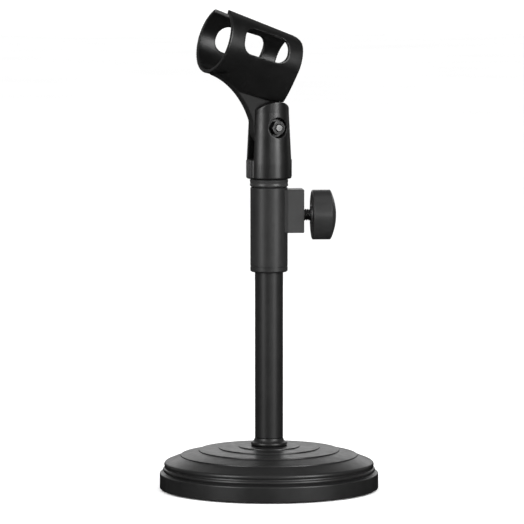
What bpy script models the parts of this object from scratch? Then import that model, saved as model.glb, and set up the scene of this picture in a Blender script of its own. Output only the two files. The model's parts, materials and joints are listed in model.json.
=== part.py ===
"""Desktop microphone stand: weighted round base, telescoping pole, clamp knob and tilting clip.

Metres, +Z up. The origin is the centre of the base's underside, and the pole stands on the Z axis.
The clamp knob points along +X. The clip is turned so that its long axis points left and forward.
"""
import math

import bmesh
import bpy
from mathutils import Matrix, Vector

# Clearances
GAP = 0.0003                  # between faces that touch on the real object
OVERCUT = 0.001               # how far a cutter runs past the face it opens

# Base
BASE_RADIUS = 0.0661
SKIRT_BOTTOM = 0.0008
SKIRT_TOP = 0.0100
SHELL_WALL = 0.0024
PAD_RADIUS = 0.0600
COVER_RADIUS = 0.0626
COVER_THICKNESS = 0.0020
COVER_SCREW_CIRCLE = 0.0500   # radius on which the four cover screws sit
COVER_SCREW_RADIUS = 0.0015
COVER_SCREW_HEAD = 0.0028
COVER_SCREW_LENGTH = 0.0090
WEIGHT_RADIUS = 0.0623
POCKET_RADIUS = 0.0145        # pocket under the weight, around the stud's nut
POCKET_TOP = 0.0132
# Outer edge and height of each terrace of the base's top, from the rim inwards
TERRACES = ((0.0533, 0.0208), (0.0424, 0.0238), (0.0303, 0.0253), (0.0183, 0.0261))
TERRACE_STEP = 0.0006         # height of the small step at each terrace's edge
HUB_TOP = 0.0264              # flat top of the base around the pole
LOWER_BEAD = (0.0628, 0.0119) # centre of the small bead above the skirt's top, and its radius
LOWER_BEAD_RADIUS = 0.0013
UPPER_BEAD = (0.0616, 0.0150) # centre of the round edge of the dome, and its radius
UPPER_BEAD_RADIUS = 0.0018

# Pole and its foot
STUD_RADIUS = 0.0050
STUD_BOTTOM = 0.0045
FOOT_WASHER = (0.0100, 0.0113, 0.0129)     # radius, bottom, top
SPRING_WASHER = (0.0085, 0.0090, 0.0110)
WASHER_SPLIT = 0.0012
FOOT_NUT_FLATS = 0.0165
FOOT_NUT_BOTTOM = 0.0039
FOOT_NUT_HEIGHT = 0.0048
FOOT_FLANGE_RADIUS = 0.0110
FOOT_NECK_RADIUS = 0.0087
FOOT_HEIGHT = 0.0043          # of the flange and neck
SPIGOT_TOP = 0.0460           # top of the part of the foot that fills the pole
POLE_RADIUS = 0.0085
POLE_BORE = 0.0073
POLE_TOP = 0.1540

# Clutch housing, at the top of the pole
HOUSING_RADIUS = 0.01125
HOUSING_BOTTOM = 0.1317
HOUSING_TOP = 0.1827
HOUSING_LIP = 0.0010          # thickness of the inward lip at the top
BLOCK_REACH = 0.0207          # from the pole's axis to the block's end face
BLOCK_THICKNESS = 0.0140
BLOCK_BOTTOM = 0.1554
BLOCK_TOP = 0.1815

# Clamp, on an axis along X
CLAMP_HEIGHT = 0.1659
CLAMP_SCREW_RADIUS = 0.0036
CLAMP_TRAVEL = 0.00127        # outward travel of the shoe in one turn of the knob
SHOE_RADIUS = 0.0038
SHOE_END = 0.0091
SCREW_END = 0.0360
NUT_FLATS = 0.0110            # across the flats of the caught nut
NUT_HEIGHT = 0.0049
POCKET_START = 0.0020
KNOB_RADIUS = 0.0150
KNOB_BACK = 0.0259            # from the pole's axis to the knob's back face
KNOB_TIP = 0.0404
KNOB_CROWN = 0.0030           # rise of the domed face
KNOB_HUB_RADIUS = 0.0060
KNOB_HUB_HEIGHT = 0.0008

# Riser, the tube that slides in the pole
RISER_RADIUS = 0.00635
RISER_BORE = 0.00535
RISER_BOTTOM = 0.0500
RISER_TOP = 0.1822
BUSH_BORE = 0.0035
BUSH_FOOT = 0.0033            # height of the bush's foot, under the tube
BUSH_SPIGOT = 0.0080          # and of the part inside the tube
FITTING_BOTTOM = 0.1650
FITTING_RADIUS = 0.0120
FITTING_HEIGHT = 0.0046
THREAD_RADIUS = 0.0079        # 5/8 inch microphone thread
THREAD_LENGTH = 0.0090
FACETS_RISER = 32

# Clip
CLIP_TURN = math.radians(24)  # about Z, from facing -Y towards +X
PIVOT_HEIGHT = 0.2188
CLIP_BASE_RADIUS = 0.0135
CLIP_EAR_RADIUS = 0.0120
CLIP_EAR_ARC = 0.0156         # rounding of the ears' tops, about the pivot
CLIP_BOTTOM = 0.1880
CLIP_SKIRT = 0.0095           # height of the clip base's straight part
INSERT_RADIUS = 0.0103
INSERT_HEIGHT = 0.0090
SLOT_WIDTH = 0.0074
SLOT_DEPTH = 0.0191           # below the pivot
TONGUE_THICKNESS = 0.0068
TONGUE_END_RADIUS = 0.0120
PIVOT_SCREW_RADIUS = 0.0022
PIVOT_HOLE_RADIUS = 0.0026
RECESS_RADIUS = 0.0060
RECESS_FLOOR = 0.0074         # from the clip's middle plane
PIVOT_WASHER_RADIUS = 0.0050
PIVOT_WASHER_HEIGHT = 0.0009
PIVOT_HEAD_RADIUS = 0.0042
PIVOT_HEAD_HEIGHT = 0.0030
PIVOT_NUT_FLATS = 0.0080
PIVOT_NUT_HEIGHT = 0.0036

# Holder, a tapered tube open along its top, with a keel below that thins down to the tongue
HOLDER_TILT = math.radians(16)
HOLDER_MIDDLE = (0.0122, 0.0459)   # sideways from the pivot and above it
HOLDER_LENGTH = 0.0524
HOLDER_RADIUS_FRONT = 0.0205
HOLDER_RADIUS_BACK = 0.0172
HOLDER_WALL = 0.0023
HOLDER_SLIT = 0.0158
WINDOW_HALF_LENGTH = 0.0159
WINDOW_EDGES = (-0.0040, 0.0115)   # above the holder's axis
WINDOW_CORNER = 0.0065
KEEL_DEPTH = 0.0255                # below the holder's axis
KEEL_STRAIGHT_END = 0.0040         # along the axis from the middle, where the keel starts to rise
KEEL_FOOT_BACK = 0.0068            # half thickness of the keel's lower edge at the back
KEEL_FOOT_FRONT = 0.0037           # and where it meets the tongue's front edge
KEEL_LEAVES = math.radians(17)     # below level, where the keel leaves the holder's round outside
KEEL_FULLNESS = 0.65               # share of its height that the keel keeps on along that slope
KEEL_CLEARANCE = 0.0161            # from the pivot to the keel, past the ears' arc
# Front edge of the tongue, a cubic curve from the holder's underside down to the pivot's side
TONGUE_EDGE = ((0.0386, 0.0322), (0.0275, 0.0283), (0.0173, 0.0180), (0.0125, 0.0042))

# Facets around a full turn
FACETS_BASE = 48
FACETS = 36
FACETS_HOLDER = 48
FACETS_SMALL = 24

LIMIT_SMOOTH = math.radians(35)


# ---------------------------------------------------------------- helpers

def clear_scene():
    for obj in list(bpy.data.objects):
        bpy.data.objects.remove(obj, do_unlink=True)


def material(name, colour, roughness, metallic=0.0):
    mat = bpy.data.materials.get(name)
    if mat is None:
        mat = bpy.data.materials.new(name)
        mat.use_nodes = True
        shader = mat.node_tree.nodes["Principled BSDF"]
        shader.inputs["Base Color"].default_value = (*colour, 1.0)
        shader.inputs["Roughness"].default_value = roughness
        shader.inputs["Metallic"].default_value = metallic
    return mat


def painted_steel():
    return material("painted_steel", (0.022, 0.022, 0.024), 0.42)


def moulded_plastic():
    return material("moulded_plastic", (0.020, 0.020, 0.021), 0.50)


def base_plastic():
    return material("base_plastic", (0.018, 0.018, 0.019), 0.32)


def bare_steel():
    return material("bare_steel", (0.55, 0.55, 0.56), 0.32, 1.0)


def iron():
    return material("iron", (0.10, 0.10, 0.10), 0.75, 1.0)


def brass():
    return material("brass", (0.72, 0.55, 0.25), 0.30, 1.0)


def nylon():
    return material("nylon", (0.70, 0.69, 0.65), 0.50)


def rubber():
    return material("rubber", (0.020, 0.020, 0.020), 0.85)


def finish(obj, mat, smooth=True):
    """Give the object its material and shading."""
    obj.data.materials.clear()
    obj.data.materials.append(mat)
    if smooth:
        obj.data.shade_smooth()
        obj.data.set_sharp_from_angle(angle=LIMIT_SMOOTH)
    return obj


def add_object(name, bm):
    """Turn a bmesh into an object in the scene, with its faces pointing out."""
    bmesh.ops.recalc_face_normals(bm, faces=bm.faces)
    mesh = bpy.data.meshes.new(name)
    bm.to_mesh(mesh)
    bm.free()
    obj = bpy.data.objects.new(name, mesh)
    bpy.context.scene.collection.objects.link(obj)
    return obj


def turned(name, profile, facets=FACETS):
    """Spin a profile of (radius, height) points about Z.

    A profile that starts and ends on the axis closes there, any other profile is a ring's section.
    """
    bm = bmesh.new()
    verts = [bm.verts.new((radius, 0.0, height)) for radius, height in profile]
    edges = [bm.edges.new(pair) for pair in zip(verts, verts[1:])]
    on_axis = profile[0][0] == 0.0 and profile[-1][0] == 0.0
    if not on_axis:
        edges.append(bm.edges.new((verts[-1], verts[0])))
    bmesh.ops.spin(bm, geom=verts + edges, cent=(0, 0, 0), axis=(0, 0, 1),
                   angle=math.tau, steps=facets, use_merge=True, use_duplicate=False)
    bmesh.ops.remove_doubles(bm, verts=bm.verts, dist=0.000001)
    return add_object(name, bm)


def tube(name, outer, inner, bottom, top, facets=FACETS):
    profile = [(outer, bottom), (outer, top), (inner, top), (inner, bottom)]
    return turned(name, profile, facets)


def cylinder(name, radius, bottom, top, facets=FACETS):
    profile = [(0.0, bottom), (radius, bottom), (radius, top), (0.0, top)]
    return turned(name, profile, facets)


def extruded(name, outline, depth):
    """Extrude a closed (x, z) outline by depth, centred on the plane y = 0."""
    bm = bmesh.new()
    face = bm.faces.new([bm.verts.new((x, -depth / 2, z)) for x, z in outline])
    moved = bmesh.ops.extrude_face_region(bm, geom=[face])
    far_verts = [item for item in moved["geom"] if isinstance(item, bmesh.types.BMVert)]
    bmesh.ops.translate(bm, verts=far_verts, vec=(0, depth, 0))
    return add_object(name, bm)


def box(name, low, high):
    (x0, y0, z0), (x1, y1, z1) = low, high
    obj = extruded(name, [(x0, z0), (x1, z0), (x1, z1), (x0, z1)], y1 - y0)
    obj.data.transform(Matrix.Translation((0, (y0 + y1) / 2, 0)))
    return obj


def arc(centre, radius, start, end, count):
    """Points on an arc, angles in degrees from +x."""
    steps = (start + (end - start) * i / (count - 1) for i in range(count))
    return [(centre[0] + radius * math.cos(math.radians(a)),
             centre[1] + radius * math.sin(math.radians(a))) for a in steps]


def hexagon(flats):
    """Outline of a hexagon with two flats facing up and down."""
    corner = flats / 2 / math.cos(math.radians(30))
    return arc((0, 0), corner, 0, 300, 6)


def nut(name, flats, hole_radius, height):
    """Hex nut about Z, from z = 0 up, with its corners turned down."""
    obj = extruded(name, hexagon(flats), height)
    obj.data.transform(Matrix.Rotation(math.radians(90), 4, "X"))
    obj.data.transform(Matrix.Translation((0, 0, height / 2)))
    hole = cylinder(name + "_hole", hole_radius, -OVERCUT, height + OVERCUT, FACETS_SMALL)
    parent_to(hole, obj)
    cut(obj, hole)
    return obj


def boolean(obj, other, operation):
    modifier = obj.modifiers.new(other.name, "BOOLEAN")
    modifier.operation = operation
    modifier.solver = "EXACT"
    modifier.object = other
    other.hide_render = True
    other.display_type = "WIRE"


def cut(obj, cutter):
    boolean(obj, cutter, "DIFFERENCE")


def half_facet(obj, facets):
    """Turn a round cutter by half a facet, so its corners stay off its target's own edges."""
    obj.data.transform(Matrix.Rotation(math.pi / facets, 4, "Z"))
    return obj


def join(obj, added):
    boolean(obj, added, "UNION")


def parent_to(obj, parent):
    obj.parent = parent
    return obj


def empty(name, location, rotation=(0, 0, 0)):
    obj = bpy.data.objects.new(name, None)
    bpy.context.scene.collection.objects.link(obj)
    obj.location = location
    obj.rotation_euler = rotation
    return obj


# ---------------------------------------------------------------- base

def base_outline():
    """Outer profile of the shell, from the skirt's foot up and in to the hub."""
    points = [
        (BASE_RADIUS - 0.0005, SKIRT_BOTTOM),
        (BASE_RADIUS, SKIRT_BOTTOM + 0.0005),
        (BASE_RADIUS, SKIRT_TOP - 0.0012),
        (BASE_RADIUS - 0.0004, SKIRT_TOP - 0.0004),
        (BASE_RADIUS - 0.0012, SKIRT_TOP),
        (0.0642, SKIRT_TOP + 0.0004),
    ]
    points += arc(LOWER_BEAD, LOWER_BEAD_RADIUS, -50, 70, 4)
    points += arc(UPPER_BEAD, UPPER_BEAD_RADIUS, -35, 72, 5)
    for (edge, height) in TERRACES:
        points.append((edge + 0.0004, height - TERRACE_STEP))
        points.append((edge, height))
    points.append((FOOT_FLANGE_RADIUS + 0.001, HUB_TOP))
    return points


def base_shell():
    hole = STUD_RADIUS + GAP
    inner = [(hole, HUB_TOP), (hole, HUB_TOP - SHELL_WALL)]
    for (edge, height) in reversed(TERRACES):
        inner.append((edge - 0.0010, height - SHELL_WALL - TERRACE_STEP))
    inner += [(0.0590, 0.0138), (0.0600, 0.0090), (0.0630, 0.0078), (0.0630, SKIRT_BOTTOM)]
    finish(turned("base_shell", base_outline() + inner, FACETS_BASE), base_plastic())


def ballast_weight():
    bottom = SKIRT_BOTTOM + GAP + COVER_THICKNESS + GAP
    hole = STUD_RADIUS + GAP
    profile = [(hole, POCKET_TOP), (POCKET_RADIUS, POCKET_TOP), (POCKET_RADIUS, bottom),
               (WEIGHT_RADIUS, bottom), (WEIGHT_RADIUS, 0.0072), (0.0594, 0.0085), (0.0585, 0.0132)]
    for (edge, height) in TERRACES:
        profile.append((edge - 0.0014, height - SHELL_WALL - TERRACE_STEP - 2 * GAP))
    profile.append((hole, HUB_TOP - SHELL_WALL - 2 * GAP))
    weight = finish(turned("ballast_weight", profile, FACETS_BASE), iron())
    for place in cover_screw_places():
        hole = cylinder("screw_pocket", COVER_SCREW_RADIUS + GAP, 0, 0.0125, 12)
        hole.location = (*place, 0)
        cut(weight, hole)


def cover_screw_places():
    for i in range(4):
        angle = math.radians(45 + 90 * i)
        yield COVER_SCREW_CIRCLE * math.cos(angle), COVER_SCREW_CIRCLE * math.sin(angle)


def bottom_cover():
    bottom = SKIRT_BOTTOM + GAP
    top = bottom + COVER_THICKNESS
    cover = finish(cylinder("bottom_cover", COVER_RADIUS, bottom, top, FACETS_BASE), bare_steel())
    head = COVER_SCREW_HEAD + GAP
    shank = COVER_SCREW_RADIUS + GAP
    sink = [(0, bottom - OVERCUT), (head, bottom - OVERCUT), (head, bottom + 0.0003),
            (shank, bottom + 0.0016), (shank, top + OVERCUT), (0, top + OVERCUT)]
    for place in cover_screw_places():
        hole = turned("cover_hole", sink, 12)
        hole.location = (*place, 0)
        cut(cover, hole)


def cover_screws():
    bottom = SKIRT_BOTTOM + GAP
    profile = [(0, bottom), (COVER_SCREW_HEAD, bottom), (COVER_SCREW_HEAD, bottom + 0.0003),
               (COVER_SCREW_RADIUS, bottom + 0.0016),
               (COVER_SCREW_RADIUS, bottom + COVER_SCREW_LENGTH), (0, bottom + COVER_SCREW_LENGTH)]
    for i, place in enumerate(cover_screw_places(), 1):
        screw = finish(turned(f"cover_screw_{i}", profile, 12), bare_steel())
        screw.location = (*place, 0)


def base_pad():
    pad = cylinder("base_pad", PAD_RADIUS, 0, SKIRT_BOTTOM, FACETS_BASE)
    finish(pad, rubber())


def foot_fasteners():
    """Washer, split spring washer and nut on the pole's stud, in the pocket under the weight."""
    hole = STUD_RADIUS + GAP
    radius, low, high = FOOT_WASHER
    finish(tube("foot_washer", radius, hole, low, high, FACETS_SMALL), bare_steel())
    radius, low, high = SPRING_WASHER
    spring = finish(tube("foot_spring_washer", radius, hole, low, high, FACETS_SMALL), bare_steel())
    half = WASHER_SPLIT / 2
    cut(spring, box("washer_split", (STUD_RADIUS - OVERCUT, -half, low - OVERCUT),
                    (radius + OVERCUT, half, high + OVERCUT)))
    foot_nut = finish(nut("foot_nut", FOOT_NUT_FLATS, hole, FOOT_NUT_HEIGHT), bare_steel(), smooth=False)
    foot_nut.location = (0, 0, FOOT_NUT_BOTTOM)


# ---------------------------------------------------------------- pole

def pole_foot():
    flange = HUB_TOP + GAP
    top = flange + FOOT_HEIGHT
    profile = [
        (0, STUD_BOTTOM), (STUD_RADIUS - 0.0006, STUD_BOTTOM), (STUD_RADIUS, STUD_BOTTOM + 0.0006),
        (STUD_RADIUS, flange), (FOOT_FLANGE_RADIUS - 0.0004, flange),
        (FOOT_FLANGE_RADIUS, flange + 0.0004), (FOOT_FLANGE_RADIUS, flange + 0.0012),
        (FOOT_FLANGE_RADIUS - 0.0006, flange + 0.0018), (FOOT_NECK_RADIUS + 0.0003, flange + 0.0025),
        (FOOT_NECK_RADIUS, top), (FOOT_NECK_RADIUS - 0.0004, top),
        (POLE_BORE - GAP, top), (POLE_BORE - GAP, SPIGOT_TOP), (0, SPIGOT_TOP),
    ]
    finish(turned("pole_foot", profile), painted_steel())


def outer_pole():
    bottom = HUB_TOP + GAP + FOOT_HEIGHT + GAP
    finish(tube("outer_pole", POLE_RADIUS, POLE_BORE, bottom, POLE_TOP), painted_steel())


# ---------------------------------------------------------------- clutch and clamp

def clamp_axis():
    """Empty on the clamp's axis whose +Z points along +X, out to the knob."""
    return empty("clamp_axis", (0, 0, CLAMP_HEIGHT), (0, math.radians(90), 0))


def clutch_housing():
    radius, low, high = HOUSING_RADIUS, HOUSING_BOTTOM, HOUSING_TOP
    profile = [(0, low), (radius - 0.0010, low), (radius, low + 0.0006), (radius, high - 0.0003),
               (radius - 0.0003, high), (0, high)]
    housing = finish(turned("clutch_housing", profile), painted_steel())
    half = BLOCK_THICKNESS / 2
    block = box("clamp_block", (POCKET_START, -half, BLOCK_BOTTOM), (BLOCK_REACH, half, BLOCK_TOP))
    bevel = block.modifiers.new("edges", "BEVEL")
    bevel.width = 0.0005
    bevel.segments = 1
    join(housing, block)
    axis = clamp_axis()
    hole = cylinder("screw_hole", CLAMP_SCREW_RADIUS + GAP, 2 * POCKET_START, BLOCK_REACH + OVERCUT,
                    FACETS_SMALL)
    cut(housing, parent_to(half_facet(hole, FACETS_SMALL), axis))
    pocket_end = nut_start() + NUT_HEIGHT + GAP
    pocket = extruded("nut_pocket", hexagon(NUT_FLATS + 2 * GAP), pocket_end - POCKET_START)
    pocket.data.transform(Matrix.Rotation(math.radians(90), 4, "X"))
    pocket.data.transform(Matrix.Translation((0, 0, (pocket_end + POCKET_START) / 2)))
    cut(housing, parent_to(pocket, axis))
    bore, lip, shoulder = POLE_RADIUS + GAP, RISER_RADIUS + 2 * GAP, high - HOUSING_LIP
    hollow = [(0, low - OVERCUT), (bore, low - OVERCUT), (bore, shoulder), (lip, shoulder),
              (lip, high + OVERCUT), (0, high + OVERCUT)]
    cut(housing, half_facet(turned("housing_bore", hollow), FACETS))


def clutch_liner():
    outer = POLE_RADIUS
    top = HOUSING_TOP - HOUSING_LIP - GAP
    liner = tube("clutch_liner", outer, RISER_RADIUS + GAP, POLE_TOP + GAP, top)
    finish(liner, nylon())
    window = cylinder("liner_window", SHOE_RADIUS + GAP, OVERCUT, outer + 2 * OVERCUT, FACETS_SMALL)
    cut(liner, parent_to(window, clamp_axis()))


def nut_start():
    """Near face of the caught nut, past the shoe's end when the clamp is a full turn open."""
    return SHOE_END + CLAMP_TRAVEL + GAP


def clamp_pieces():
    """Nut in the block, then the shoe, screw and knob that move along the clamp's axis."""
    axis = clamp_axis()
    clamp_nut = nut("clamp_nut", NUT_FLATS, CLAMP_SCREW_RADIUS + GAP, NUT_HEIGHT)
    clamp_nut.location = (0, 0, nut_start())
    parent_to(finish(clamp_nut, bare_steel(), smooth=False), axis)

    shoe_front = RISER_RADIUS + GAP
    shoe = cylinder("clamp_shoe", SHOE_RADIUS, shoe_front, SHOE_END, FACETS_SMALL)
    parent_to(finish(shoe, nylon()), axis)

    tip, end = SHOE_END + GAP, SCREW_END
    radius = CLAMP_SCREW_RADIUS
    screw = turned("clamp_screw", [(0, tip), (radius - 0.0007, tip), (radius, tip + 0.0007),
                                   (radius, end), (0, end)], FACETS_SMALL)
    parent_to(finish(screw, bare_steel()), axis)

    bore = radius + GAP
    back = KNOB_BACK
    front_edge = KNOB_TIP - KNOB_CROWN
    face_radius = KNOB_RADIUS - 0.0009
    sphere = (face_radius ** 2 + KNOB_CROWN ** 2) / (2 * KNOB_CROWN)
    sweep = math.degrees(math.asin(face_radius / sphere))
    dome = arc((0, KNOB_TIP - sphere), sphere, 90 - sweep, 90, 6)
    dome[-1] = (0.0, KNOB_TIP)
    hub, hub_back = KNOB_HUB_RADIUS, back - KNOB_HUB_HEIGHT
    profile = [(0, end + GAP), (bore, end + GAP), (bore, hub_back), (hub - 0.0006, hub_back),
               (hub, back), (KNOB_RADIUS - 0.0006, back), (KNOB_RADIUS, back + 0.0006),
               (KNOB_RADIUS, front_edge - 0.0006)] + dome
    knob = turned("clamp_knob", profile)
    parent_to(finish(knob, moulded_plastic()), axis)


# ---------------------------------------------------------------- riser

def riser():
    steel_tube = tube("riser_tube", RISER_RADIUS, RISER_BORE, RISER_BOTTOM, RISER_TOP, FACETS_RISER)
    finish(steel_tube, bare_steel())
    spigot, rim = RISER_BORE - GAP, POLE_BORE - GAP
    low, high = RISER_BOTTOM - BUSH_FOOT, RISER_BOTTOM + BUSH_SPIGOT
    bush = [(spigot, high), (BUSH_BORE, high), (BUSH_BORE, low), (rim, low),
            (rim, RISER_BOTTOM - GAP), (spigot, RISER_BOTTOM - GAP)]
    finish(turned("riser_bush", bush, FACETS_RISER), nylon())
    flange = HOUSING_TOP + GAP
    top = flange + FITTING_HEIGHT
    radius = FITTING_RADIUS
    thread_top = top + THREAD_LENGTH
    fitting = [
        (0, FITTING_BOTTOM), (spigot, FITTING_BOTTOM), (spigot, flange),
        (radius - 0.0010, flange), (radius - 0.0002, flange + 0.0008),
        (radius - 0.0005, flange + 0.0022), (radius - 0.0002, top - 0.0006), (radius - 0.0006, top),
        (THREAD_RADIUS, top), (THREAD_RADIUS, thread_top - 0.0006),
        (THREAD_RADIUS - 0.0006, thread_top), (0, thread_top),
    ]
    finish(turned("riser_fitting", fitting), painted_steel())


# ---------------------------------------------------------------- clip

def clip_axis():
    """Empty at the pivot: +X is the side the holder leans to, +Y the pivot's axis, to the front."""
    return empty("clip_axis", (0, 0, PIVOT_HEIGHT), (0, 0, math.radians(180) + CLIP_TURN))


def clip_insert():
    low = CLIP_BOTTOM + 0.0002
    ring = tube("clip_insert", INSERT_RADIUS, THREAD_RADIUS + GAP, low, low + INSERT_HEIGHT)
    finish(ring, brass())


def clip_base():
    axis = clip_axis()
    low = CLIP_BOTTOM - PIVOT_HEIGHT
    bore, bore_top = INSERT_RADIUS + GAP, low + INSERT_HEIGHT + 0.0008
    profile = [(0, bore_top), (bore, bore_top), (bore, low), (CLIP_BASE_RADIUS - 0.0004, low),
               (CLIP_BASE_RADIUS, low + 0.0004), (CLIP_BASE_RADIUS, low + CLIP_SKIRT),
               (CLIP_EAR_RADIUS, 0.0090), (CLIP_EAR_RADIUS, CLIP_EAR_ARC + 0.002),
               (0, CLIP_EAR_ARC + 0.002)]
    fork = parent_to(finish(turned("clip_base", profile), moulded_plastic()), axis)

    far = 0.03
    crown = [(-far, 0.005), (-far, far), (far, far), (far, 0.005)]
    crown += arc((0, 0), CLIP_EAR_ARC, 19, 161, 17)
    cut(fork, parent_to(extruded("ear_tops", crown, 0.05), axis))
    half = SLOT_WIDTH / 2
    slot = box("tongue_slot", (-far, -half, -SLOT_DEPTH), (far, half, far))
    cut(fork, parent_to(slot, axis))
    hole, floor, recess = PIVOT_HOLE_RADIUS, RECESS_FLOOR, RECESS_RADIUS
    bore = [(0, -far), (recess, -far), (recess, -floor), (hole, -floor),
            (hole, floor), (recess, floor), (recess, far), (0, far)]
    cutter = half_facet(turned("pivot_bore", bore, FACETS_SMALL), FACETS_SMALL)
    cutter.data.transform(Matrix.Rotation(math.radians(-90), 4, "X"))
    cut(fork, parent_to(cutter, axis))


def holder_point(along, radius):
    """(x, z) of a point under the holder's axis: along the axis from its middle, radius below it."""
    cos, sin = math.cos(HOLDER_TILT), math.sin(HOLDER_TILT)
    return (HOLDER_MIDDLE[0] + along * cos + radius * sin,
            HOLDER_MIDDLE[1] + along * sin - radius * cos)


def holder_radius(along):
    middle = (HOLDER_RADIUS_FRONT + HOLDER_RADIUS_BACK) / 2
    return middle + along * (HOLDER_RADIUS_FRONT - HOLDER_RADIUS_BACK) / HOLDER_LENGTH


def bezier(points, steps):
    """Points on a Bezier curve of any order, both ends included."""
    curve = []
    for i in range(steps + 1):
        t = i / steps
        level = [Vector(point) for point in points]
        while len(level) > 1:
            level = [a.lerp(b, t) for a, b in zip(level, level[1:])]
        curve.append(tuple(level[0]))
    return curve


def tongue_outline():
    """Closed (x, z) outline of the tongue, from the holder's underside round the pivot and back."""
    front, back = 0.0200, -HOLDER_LENGTH / 2 + 0.0020
    inside = HOLDER_WALL / 2
    points = [holder_point(back, holder_radius(back) - inside),
              holder_point(front, holder_radius(front) - inside)]
    points += bezier(TONGUE_EDGE, 9)
    points += arc((0, 0), TONGUE_END_RADIUS, 0, -185, 16)
    points.append(holder_point(back, KEEL_DEPTH - 0.0010))
    return points


def keel_section(along):
    """Closed (sideways, up) section of the keel across the holder's axis."""
    radius = holder_radius(along)
    straight, end = KEEL_STRAIGHT_END, HOLDER_LENGTH / 2
    rise = max(0.0, (along - straight) / (end - straight))
    depth = KEEL_DEPTH + (holder_radius(end) - HOLDER_WALL - KEEL_DEPTH) * rise ** 0.7
    slope = min(1.0, (along + end) / (straight + end))
    foot = KEEL_FOOT_BACK + (KEEL_FOOT_FRONT - KEEL_FOOT_BACK) * slope
    cos, sin = math.cos(KEEL_LEAVES), math.sin(KEEL_LEAVES)
    shoulder = ((radius - 0.0001) * cos, -(radius - 0.0001) * sin)
    drop = KEEL_FULLNESS * (depth + shoulder[1])
    belly = (shoulder[0] - drop * sin, shoulder[1] - drop * cos)
    side = bezier((shoulder, belly, (foot, -depth)), 5)
    return side + [(-y, z) for y, z in reversed(side)]


def keel():
    """Loft of the keel's sections, about the holder's X axis."""
    half = HOLDER_LENGTH / 2
    bm = bmesh.new()
    rings = []
    for i in range(9):
        along = -half + 0.0001 + (0.0200 + half) * i / 8
        rings.append([bm.verts.new((along, y, z)) for y, z in keel_section(along)])
    for ring, after in zip(rings, rings[1:]):
        count = len(ring)
        for j in range(count):
            k = (j + 1) % count
            bm.faces.new((ring[j], ring[k], after[k], after[j]))
    bm.faces.new(rings[0])
    bm.faces.new(rings[-1])
    return add_object("keel", bm)


def along_x(obj):
    """Lay a turned shape down, so that its +Z end points along +X."""
    obj.data.transform(Matrix.Rotation(math.radians(90), 4, "Y"))
    return obj


def holder_cone(name, inset, past):
    """Tapered solid about the X axis, larger at +X, inset from the holder's outer face."""
    half = HOLDER_LENGTH / 2 + past
    front, back = holder_radius(half) - inset, holder_radius(-half) - inset
    profile = [(0, -half), (back, -half), (front, half), (0, half)]
    return along_x(half_facet(turned(name, profile, FACETS_HOLDER), FACETS_HOLDER))


def window_outline():
    x, (z0, z1), r = WINDOW_HALF_LENGTH, WINDOW_EDGES, WINDOW_CORNER
    return (arc((x - r, z1 - r), r, 0, 90, 4) + arc((r - x, z1 - r), r, 90, 180, 4)
            + arc((r - x, z0 + r), r, 180, 270, 4) + arc((x - r, z0 + r), r, 270, 360, 4))


def across(name, radius, half_length):
    """Round cutter about the pivot's axis."""
    obj = half_facet(cylinder(name, radius, -half_length, half_length, FACETS_SMALL), FACETS_SMALL)
    obj.data.transform(Matrix.Rotation(math.radians(-90), 4, "X"))
    return obj


def clip_holder():
    axis = clip_axis()
    middle = empty("holder_axis", (HOLDER_MIDDLE[0], 0, HOLDER_MIDDLE[1]), (0, -HOLDER_TILT, 0))
    parent_to(middle, axis)
    holder = parent_to(finish(holder_cone("clip_holder", 0, 0), moulded_plastic()), middle)
    join(holder, parent_to(keel(), middle))
    cut(holder, parent_to(across("keel_clearance", KEEL_CLEARANCE, 0.03), axis))
    join(holder, parent_to(extruded("tongue", tongue_outline(), TONGUE_THICKNESS), axis))
    cut(holder, parent_to(holder_cone("holder_bore", HOLDER_WALL, OVERCUT), middle))
    reach = HOLDER_LENGTH / 2 + 0.005
    half = HOLDER_SLIT / 2
    cut(holder, parent_to(box("holder_slit", (-reach, -half, 0.005), (reach, half, 0.03)), middle))
    cut(holder, parent_to(extruded("holder_window", window_outline(), 0.06), middle))
    cut(holder, parent_to(across("tongue_hole", PIVOT_HOLE_RADIUS, 0.01), axis))


def pivot_pieces():
    """Screw from the back, a washer under its head, and a washer and lock nut at the front."""
    axis = clip_axis()
    radius = PIVOT_SCREW_RADIUS
    seat = RECESS_FLOOR + GAP
    thick = PIVOT_WASHER_HEIGHT
    for name, side in (("pivot_washer_nut", 1), ("pivot_washer_head", -1)):
        washer = tube(name, PIVOT_WASHER_RADIUS, radius + GAP, seat, seat + thick, FACETS_SMALL)
        washer.data.transform(Matrix.Rotation(math.radians(-90 * side), 4, "X"))
        parent_to(finish(washer, bare_steel()), axis)

    head = seat + thick + GAP
    tip = head + PIVOT_NUT_HEIGHT + 0.0004
    rim, crown = PIVOT_HEAD_RADIUS, -head - PIVOT_HEAD_HEIGHT
    profile = [(0, crown), (rim - 0.0006, crown), (rim, crown + 0.0008), (rim, -head),
               (radius, -head), (radius, tip - 0.0005), (radius - 0.0005, tip), (0, tip)]
    screw = turned("pivot_screw", profile, FACETS_SMALL)
    screw.data.transform(Matrix.Rotation(math.radians(-90), 4, "X"))
    parent_to(finish(screw, bare_steel()), axis)

    lock_nut = nut("pivot_nut", PIVOT_NUT_FLATS, radius + GAP, PIVOT_NUT_HEIGHT)
    lock_nut.rotation_euler = (math.radians(-90), 0, 0)
    lock_nut.location = (0, head, 0)
    parent_to(finish(lock_nut, bare_steel(), smooth=False), axis)


def main():
    clear_scene()
    base_shell()
    ballast_weight()
    bottom_cover()
    cover_screws()
    base_pad()
    foot_fasteners()
    pole_foot()
    outer_pole()
    clutch_housing()
    clutch_liner()
    clamp_pieces()
    riser()
    clip_insert()
    clip_base()
    clip_holder()
    pivot_pieces()


main()
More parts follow.
